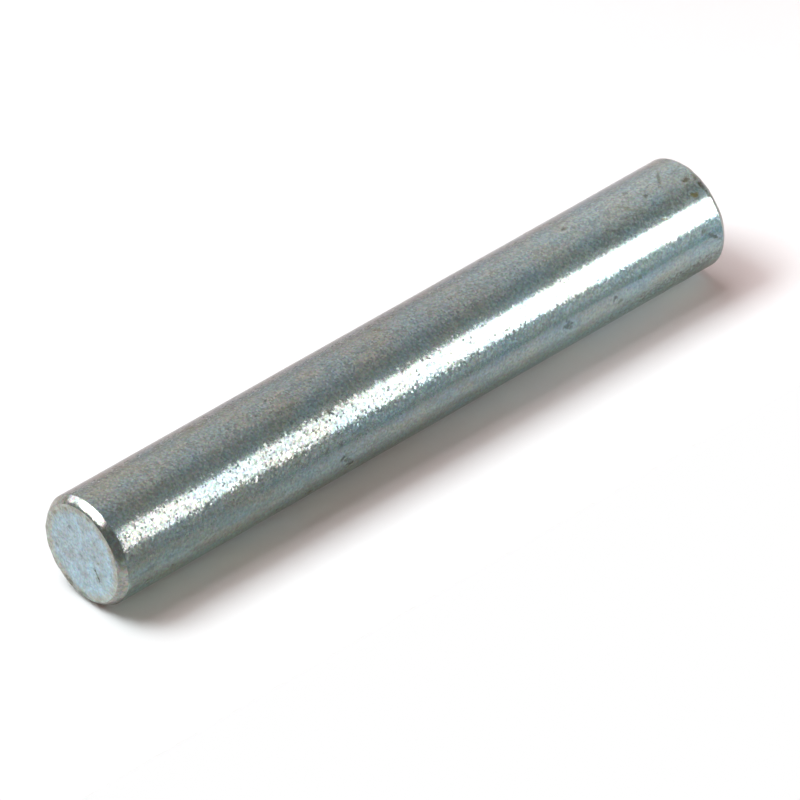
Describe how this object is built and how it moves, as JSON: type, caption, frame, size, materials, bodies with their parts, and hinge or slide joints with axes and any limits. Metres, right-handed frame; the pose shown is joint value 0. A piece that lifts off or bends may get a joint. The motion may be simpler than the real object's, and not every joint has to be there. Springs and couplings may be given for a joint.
{
  "type": "brake pad pin",
  "caption": "Plain round steel pin, chamfered at both ends, which brake pads hang and slide on inside a caliper.",
  "frame": {"origin": "middle of the lower end face, on the pin's axis; the pin stands on that face", "axes": "+Z along the pin's axis, from the lower end to the upper end; X and Y are any two directions across it, because the pin is round"},
  "size_m": [0.006, 0.006, 0.04],
  "materials": {
    "zinc_plated_steel": "satin clear zinc plate with a faint blue tint and a fine grain, lightly marked"
  },
  "bodies": {
    "root": {"pad_pin": "zinc_plated_steel"}
  },
  "joints": []
}
